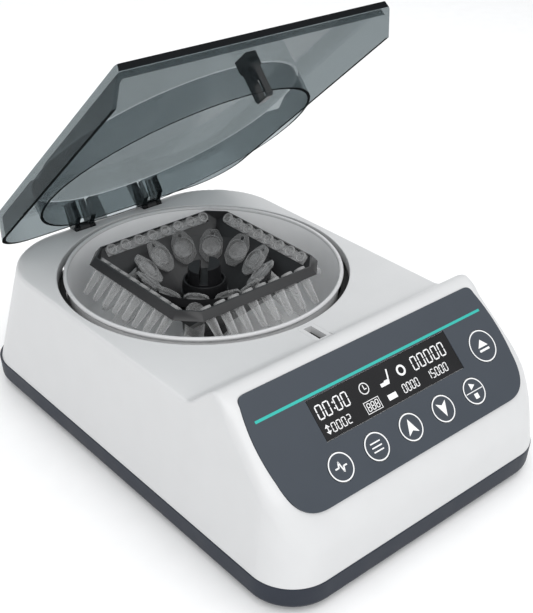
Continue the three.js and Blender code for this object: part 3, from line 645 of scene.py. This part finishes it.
def make_bowl():
    """A deep liner with a rolled lip."""
    lip, floor, top = 75.3, 33.5, limits("bowl")[1].z + 0.4
    bead = 1.2
    profile = [(11, floor - 2), (62, floor - 2)]
    profile += arc((64, floor + 6), 7.6, -90, -12, 6)
    profile += [(73.2, 70), (73.3, 73.4)]
    profile += arc((lip - bead, top - bead), bead, -60, 200, 12)
    profile += [(72.1, 71.5), (69.7, floor + 9)]
    profile += arc((62.7, floor + 7), 7, 10, -90, 8)
    profile += [(40, floor), (39, floor + 0.8), (20, floor + 0.8)]
    profile += [(13, floor), (13, floor + 2.5), (11, floor + 2.5)]
    bowl = lathe("chamber_bowl", profile, PAINTED_LIGHT_LINER, 128, (0, ROTOR.y, 0))
    # Only the lip keeps the plastic's own grey; the rest of the bowl carries the lighter grey, painted light
    # against the shade inside the bowl.
    bowl.data.materials.append(LIP)
    for face in bowl.data.polygons:
        if face.center.z > (top - 2 * bead) * MM:
            face.material_index = 1
    return piece(bowl, "housing", "bowl", slot="grey_liner")


make_bowl()


# ---------------------------------------------------------------- panel
def make_overlay():
    overlay = prism("panel_film", panel_outline(0), -0.7, 0.3, FILM, TILT)
    combine(overlay, block("tool", (-45.2, -34.8, -2), (45.2, -14.4, 2), None, TILT), "DIFFERENCE")
    for u, v, radius in KEYS.values():
        combine(overlay, prism("tool", disc(radius + 0.3, u, v), -2, 2, FILM, TILT), "DIFFERENCE")
    rounded(overlay, 0.12, 1, 50)
    return piece(overlay, "housing", "panel_overlay", slot="slate_film")


def strip(start, end, width):
    """The outline of a straight line of some width."""
    a, b = Vector(start), Vector(end)
    side = (b - a).normalized().orthogonal() * (width / 2)
    return [tuple(a - side), tuple(b - side), tuple(b + side), tuple(a + side)]


def print_on(name, body, height, outlines, material, slot, holes=()):
    """Thin printed marks on the panel, one closed sheet for each outline."""
    parts = [prism("mark", outline, height, height + 0.06, material, TILT) for outline in outlines]
    for outer, inner in holes:
        parts.append(band("mark", outer, inner, height, height + 0.06, material))
    return piece(merge(name, *parts), body, slot=slot)


def band(name, outer, inner, low, high, material):
    """The strip between two outlines of equal length, as a closed solid on the panel."""
    n = len(outer)
    vertices = [(x, y, z) for z in (low, high) for loop in (outer, inner) for x, y in loop]
    vertices = [tuple(TILT @ Vector(v)) for v in vertices]
    faces = []
    for i in range(n):
        j = (i + 1) % n
        faces += [
            [i, n + i, n + j, j],
            [2 * n + i, 2 * n + j, 3 * n + j, 3 * n + i],
            [i, j, 2 * n + j, 2 * n + i],
            [n + i, 3 * n + i, 3 * n + j, n + j],
        ]
    return new_object(name, vertices, faces, material)


SEGMENTS = {
    "0": "abcdef", "1": "bc", "2": "abged", "3": "abgcd", "4": "fgbc",
    "5": "afgcd", "6": "afgedc", "7": "abc", "8": "abcdefg", "9": "abcdfg",
}


def digit(text, x, y, width, height, stroke, lean=0.04):
    """The bars of one seven-segment digit, lower left corner at x, y."""
    mid = height / 2
    ends = {
        "a": ((0, height), (width, height)), "g": ((0, mid), (width, mid)), "d": ((0, 0), (width, 0)),
        "f": ((0, mid), (0, height)), "b": ((width, mid), (width, height)),
        "e": ((0, 0), (0, mid)), "c": ((width, 0), (width, mid)),
    }
    bars = []
    for segment in SEGMENTS[text]:
        (x0, y0), (x1, y1) = ends[segment]
        a, b = Vector((x0, y0)), Vector((x1, y1))
        way = (b - a).normalized()
        side = Vector((-way.y, way.x)) * stroke / 2
        gap, tip = way * stroke * 0.15, way * stroke / 2
        a, b = a + gap, b - gap
        shape = [a, a + tip + side, b - tip + side, b, b - tip - side, a + tip - side]
        bars.append([(x + p.x + lean * p.y, y + p.y) for p in shape])
    return bars


def number(text, x, y, width, height, stroke, pitch):
    bars = []
    for i, letter in enumerate(text):
        bars += digit(letter, x + i * pitch, y, width, height, stroke)
    return bars


def make_display():
    window = block("display_glass", (-44.9, -34.5, -0.7), (44.9, -14.7, 0.28), GLASS, TILT)
    rounded(window, 0.12, 1, 50)
    piece(window, "housing", "display_window", slot="dark_glass")
    bars = number("00", -42.8, -24.9, 3.0, 6.3, 0.62, 4.6) + number("00", -32.0, -24.9, 3.0, 6.3, 0.62, 4.6)
    bars += [disc(0.42, -33.0, -23.2, 10), disc(0.42, -32.8, -20.4, 10)]
    bars += number("0002", -39.3, -32.3, 2.0, 4.0, 0.45, 3.1)
    bars += number("888", -17.2, -31.9, 1.7, 3.6, 0.42, 2.6)
    bars += number("0000", 5.9, -32.1, 1.8, 4.0, 0.45, 2.75)
    bars += number("00000", 17.8, -25.0, 3.0, 6.3, 0.62, 4.7)
    bars += number("15000", 22.4, -32.1, 1.9, 4.0, 0.45, 2.9)
    bars += [strip((-41.6, -31.6), (-41.6, -28.6), 0.5), [(-43.0, -29.3), (-41.6, -27.7), (-40.2, -29.3)]]
    bars += [[(-43.0, -30.9), (-40.2, -30.9), (-41.6, -32.5)]]
    bars += [strip((-13.8, -21.9), (-13.8, -19.8), 0.45), strip((-14.0, -21.9), (-12.4, -21.9), 0.45)]
    bars += [[(-4.6, -24.9), (0.6, -24.9), (1.6, -22.6), (-1.6, -22.6), (-2.2, -23.2), (-4.6, -23.2)]]
    bars += [strip((1.0, -23.0), (2.6, -18.2), 0.8)]
    bars += [[(-4.2, -31.9), (1.3, -31.9), (1.3, -29.2), (-4.2, -29.2)]]
    clock = (disc(2.8, -13.8, -21.5), disc(2.35, -13.8, -21.5))
    rings = [clock, (disc(2.7, 10.2, -21.8), disc(1.65, 10.2, -21.8))]
    frame_out = [(-18.4, -33.0), (-9.0, -33.0), (-9.0, -27.2), (-18.4, -27.2)]
    frame_in = [(-18.1, -32.7), (-9.3, -32.7), (-9.3, -27.5), (-18.1, -27.5)]
    print_on("display_digits", "housing", 0.29, bars, PRINT, "dark_glass", rings + [(frame_out, frame_in)])


def key_symbols():
    """Outlines and rings of each key's symbol about the key's centre."""
    pulse = [strip((-3.4, 0), (-1.3, 0), 0.7), strip((-1.4, -0.1), (-0.4, 2.6), 0.7)]
    pulse += [strip((-0.5, 2.7), (0.7, -2.5), 0.7), strip((0.6, -2.6), (1.5, 0.1), 0.7)]
    pulse += [strip((1.4, 0), (3.4, 0), 0.7)]
    menu = [strip((-3, y), (3, y), 0.6) for y in (-2, 0, 2)]
    up = [[(0, 4.0), (3.2, -3.4), (0, -1.7), (-3.2, -3.4)]]
    down = [[(-x, -y) for x, y in up[0]]]
    play = [[(-1.3, 1.0), (2.0, 2.7), (-1.3, 4.4)], [(-1.3, -3.9), (1.3, -3.9), (1.3, -1.3), (-1.3, -1.3)]]
    play.append(strip((-5.6, 0), (5.6, 0), 0.4))
    eject = [[(-3.4, -0.4), (3.4, -0.4), (0, 3.4)], [(-3.4, -2.6), (3.4, -2.6), (3.4, -1.5), (-3.4, -1.5)]]
    return {
        "key_pulse": pulse, "key_menu": menu, "key_up": up, "key_down": down,
        "key_start_stop": play, "key_open": eject,
    }


def make_keys():
    symbols = key_symbols()
    for name, (u, v, radius) in KEYS.items():
        cap = prism("cap", disc(radius, u, v), -0.35, 0.35, FILM, TILT)
        rounded(cap, 0.12, 1, 50)
        stem = prism("stem", disc(3, u, v, 16), -4.6, -0.35, FILM, TILT)
        piece(merge(name + "_cap", cap, stem), name + "_cap", name, slot="slate_film")
        outlines = [[(u + x, v + y) for x, y in shape] for shape in symbols[name]]
        rim = (disc(radius - 0.05, u, v), disc(radius - 0.65, u, v))
        print_on(name + "_print", name + "_cap", 0.36, outlines, PRINT, "slate_film", [rim])


make_overlay()
print_on("teal_stripe", "housing", 0.3, [strip((-72.8, -13.2), (72.8, -13.2), 1.3)], TEAL, "slate_film")
make_display()
make_keys()


# ---------------------------------------------------------------- lid
CLOSED = Matrix.Translation(HINGE) @ Matrix.Rotation(LID_OPEN, 4, "X") @ Matrix.Translation(-HINGE)


def make_lid():
    """The smoked cover. Its narrow edges are seen along the plastic, so they look almost black."""
    lid = copy_of("lid_cover", "lid_smoked", SMOKE, SMOKE_EDGE, SMOKE_THICK, SMOKE_LIGHT, SMOKE_RING)
    edge_slot, thick_slot, light_slot, ring_slot = 1, 2, 3, 4
    largest_edge = 0.0012
    rounded(lid, 0.45, 2, 40)
    back = CLOSED.to_3x3()
    for face in lid.data.polygons:
        normal = back @ face.normal
        centre = CLOSED @ (face.center / MM)
        rim = normal.z < -0.9 and centre.z < 79
        front = normal.y < -0.8 and centre.y < -66
        slanted = normal.y < -0.5 and normal.z < -0.5 and abs(centre.x) > 74
        at_fin = any(abs(abs(centre.x) - x) < 1.7 for x in FIN_X)
        fin = centre.z < 87 and centre.y > 112 and at_fin
        from_ring = math.hypot(centre.x, centre.y - ROTOR.y) - RING_RADIUS
        ring = abs(from_ring) < 1.5 and abs(normal.z) < 0.3 and centre.z < 89
        if face.area < largest_edge and (rim or front or slanted):
            face.material_index = edge_slot
        elif face.area < largest_edge and fin:
            face.material_index = thick_slot
        elif normal.z < -0.9 and centre.y < -66:
            face.material_index = light_slot
        elif ring:
            face.material_index = ring_slot
    return piece(lid, "lid", "lid_cover", slot="smoke")


def make_hook():
    hook = copy_of("latch_hook", "latch_hook_smoked", SMOKE_THICK)
    rounded(hook, 0.35, 2, 40)
    return piece(hook, "lid", "latch_hook", slot="smoke")


make_lid()
make_hook()


# ---------------------------------------------------------------- rotor
PITCH = 9
MICRO_S, MICRO_Z = 30.5, 73
STRIP_S, STRIP_Z = 42.1, 80


def leaning(s, z, turn):
    """Places a tube: its axis leans outwards by 45 degrees, s from the spin axis at height z."""
    return (
        Matrix.Translation((0, ROTOR.y, 0))
        @ Matrix.Rotation(turn, 4, "Z")
        @ Matrix.Translation((s, 0, z))
        @ Matrix.Rotation(-math.pi / 4, 4, "Y")
    )


def corner_cut(points, radius, count=4):
    """Rounds every corner of a convex outline."""
    made = []
    n = len(points)
    for i in range(n):
        before, here, after = (Vector(points[(i + k) % n]) for k in (-1, 0, 1))
        a = here + (before - here).normalized() * radius
        b = here + (after - here).normalized() * radius
        for k in range(count + 1):
            t = k / count
            made.append(tuple(a.lerp(here, t).lerp(here.lerp(b, t), t)))
    return made


def tube_parts():
    """One closed microtube about its own axis: a solid body, and a cap with a thumb tab."""
    outline = [(-9.8, -2.4), (-4.6, -6.5), (3.6, -6.6), (9.8, -3.1)]
    outline += [(9.8, 3.1), (3.6, 6.6), (-4.6, 6.5), (-9.8, 2.4)]
    cap = prism("cap", corner_cut(outline, 1.6), -0.5, 0.9, CAP)
    combine(cap, prism("tool", disc(1.25, 7.2, 0, 20), -2, 2, CAP), "DIFFERENCE")
    rounded(cap, 0.25, 2, 50)
    ring = [(3.9, 0.5), (3.9, 1.0), (4.3, 1.1)] + arc((5.2, 1.2), 0.8, 180, 0, 6) + [(6.0, 0.5)]
    combine(cap, lathe("rim", ring, CAP, 40), "UNION")
    dome = [(0, 0.5), (3.5, 0.5), (3.4, 1.2), (2.4, 1.45), (0, 1.5)]
    combine(cap, lathe("dome", dome, CAP, 32), "UNION")
    outer = [(0, -38), (1.2, -37.8), (1.8, -37), (5.1, -21), (5.3, -3), (5.3, -0.52), (0, -0.52)]
    return merge("microtube_pattern", cap, lathe("body", outer, TUBE, 32))


def strip_parts():
    """One strip of eight capped PCR tubes about the middle of its bar."""
    caps = block("bar", (-2.2, -34.5, -0.45), (2.2, 34.5, -0.05), CAP)
    bodies = []
    for i in range(8):
        y = (i - 3.5) * PITCH
        cap = [(0, 0.1), (1.9, 0.1), (2.1, 0.9), (2.5, 1.3), (3.0, 1.2), (3.15, 0.8), (3.15, -0.4), (0, -0.4)]
        combine(caps, lathe("cap", cap, CAP, 28, (0, y, 0)), "UNION")
        outer = [(0, -20), (1.2, -19.7), (1.6, -18.8), (2.6, -6), (2.75, -0.46), (0, -0.46)]
        bodies.append(lathe("body", outer, TUBE, 24, (0, y, 0)))
    caps.data.materials.append(CAP_RIM)
    for face in caps.data.polygons:
        x, y, _ = face.center / MM
        from_tube = ((y / PITCH + 4) % 1 - 0.5) * PITCH
        if 2.0 < math.hypot(x, from_tube) < 3.3:
            face.material_index = 1
    return merge("strip_pattern", caps, *bodies)


def place_copy(pattern, name, place, node, slot):
    """A copy of a pattern, moved into place with its mesh."""
    made = bpy.data.objects.new(name, pattern.data.copy())
    bpy.context.scene.collection.objects.link(made)
    shift = place.copy()
    shift.translation = place.translation * MM
    made.data.transform(shift)
    return piece(made, "rotor", node, slot=slot)


def make_tubes():
    pattern = tube_parts()
    for i in range(12):
        place = leaning(MICRO_S, MICRO_Z, (i + 0.5) * math.pi / 6)
        place_copy(pattern, f"tube_{i + 1}", place, f"microtube_{i + 1}", "clear_pp")
    bpy.data.objects.remove(pattern)
    pattern = strip_parts()
    for i in range(4):
        place = leaning(STRIP_S, STRIP_Z, i * math.pi / 2)
        place_copy(pattern, f"strip_{i + 1}", place, f"pcr_strip_{i + 1}", "clear_pp")
    bpy.data.objects.remove(pattern)


def make_knob():
    knob = copy_of("rotor_knob", "knob_winged", KNOB)
    rounded(knob, 0.5, 3, 40)
    return piece(knob, "knob", "rotor_knob", slot="black_plastic")


def make_rotor_body():
    body = copy_of("rotor_body", "rotor_frame", BLACK)
    rounded(body, 0.25, 1, 40)
    return piece(body, "rotor", "rotor_body", slot="black_plastic")


make_rotor_body()
make_tubes()
make_knob()


# ---------------------------------------------------------------- lid lock
def make_lock_housing():
    """Black under the deck. The collar that lines the latch slot is white, like the deck round it."""
    lock = copy_of("lock_housing", "lock_collared", BLACK, WHITE)
    change = 72.3 * MM
    edit = bmesh.new()
    edit.from_mesh(lock.data)
    parts = edit.verts[:] + edit.edges[:] + edit.faces[:]
    bmesh.ops.bisect_plane(edit, geom=parts, plane_co=(0, 0, change), plane_no=(0, 0, 1))
    for face in edit.faces:
        face.material_index = int(face.calc_center_median().z > change)
    edit.to_mesh(lock.data)
    edit.free()
    return piece(lock, "housing", "lock_housing", slot="black_plastic")


make_lock_housing()

# ---------------------------------------------------------------- the rest keeps its CAD shape
CARRIED = {
    BLACK: ["hinge_bracket", "power_entry", "power_rocker"],
    STEEL: ["motor_bracket", "motor_bearing", "motor_rotor", "lock_bolt", "hinge_pin_left", "hinge_pin_right"]
    + [f"case_screw_{i}" for i in range(1, 5)],
    ALUMINIUM: ["motor_housing", "motor_end_cap", "power_supply", "lock_solenoid"],
    WINDING: ["motor_stator"],
    RUBBER: ["chamber_seal"]
    + [f"foot_{i}" for i in range(1, 5)]
    + [f"motor_damper_{i}" for i in range(1, 4)],
    BOARD: ["driver_board", "display_board"],
}
for material, names in CARRIED.items():
    for name in names:
        node = frame["nodes"][name]
        node.data.materials.clear()
        node.data.materials.append(material)


# ---------------------------------------------------------------- studio
def make_floor():
    half = 4000
    pale = moulded("floor", (0.93, 0.93, 0.93), 0.7, share=0.01, texture=0.02)
    block("floor", (-half, -half, -4), (half, half, 0), pale)


def area_light(name, position, target, size, power):
    """A soft light; size in metres, power in watts."""
    data = bpy.data.lights.new(name, "AREA")
    data.shape = "RECTANGLE"
    data.size, data.size_y = size
    data.energy = power
    light = bpy.data.objects.new(name, data)
    light.location = Vector(position) * MM
    aim = Vector(target) * MM - light.location
    light.rotation_euler = aim.to_track_quat("-Z", "Y").to_euler()
    bpy.context.scene.collection.objects.link(light)


def make_world():
    world = bpy.data.worlds.new("studio")
    world.use_nodes = True
    background = world.node_tree.nodes["Background"]
    background.inputs["Color"].default_value = (0.97, 0.985, 1.0, 1)
    background.inputs["Strength"].default_value = 0.72
    bpy.context.scene.world = world


def make_camera():
    """The viewing angle of the photograph."""
    data = bpy.data.cameras.new("camera")
    data.sensor_width = 36
    data.lens = 62.33
    camera = bpy.data.objects.new("camera", data)
    azimuth, elevation, roll = (math.radians(a) for a in (40.77, 30.40, 0.36))
    turn = Matrix.Rotation(-azimuth, 4, "Z") @ Matrix.Rotation(math.pi / 2 - elevation, 4, "X")
    eye = Matrix.Translation(Vector((-304.8, -366.8, 348.0)) * MM)
    camera.matrix_world = eye @ turn @ Matrix.Rotation(roll, 4, "Z")
    bpy.context.scene.collection.objects.link(camera)
    bpy.context.scene.camera = camera


make_floor()
make_world()
area_light("key", (500, -300, 1100), (0, 0, 60), (0.9, 0.9), 3.2)
area_light("front", (-550, -750, 900), (0, 0, 80), (1.4, 1.2), 10)
area_light("back", (200, 900, 900), (0, 0, 80), (1.2, 0.6), 3.4)
make_camera()
bpy.context.scene.view_settings.view_transform = "Standard"
bpy.context.scene.cycles.transparent_max_bounces = 24
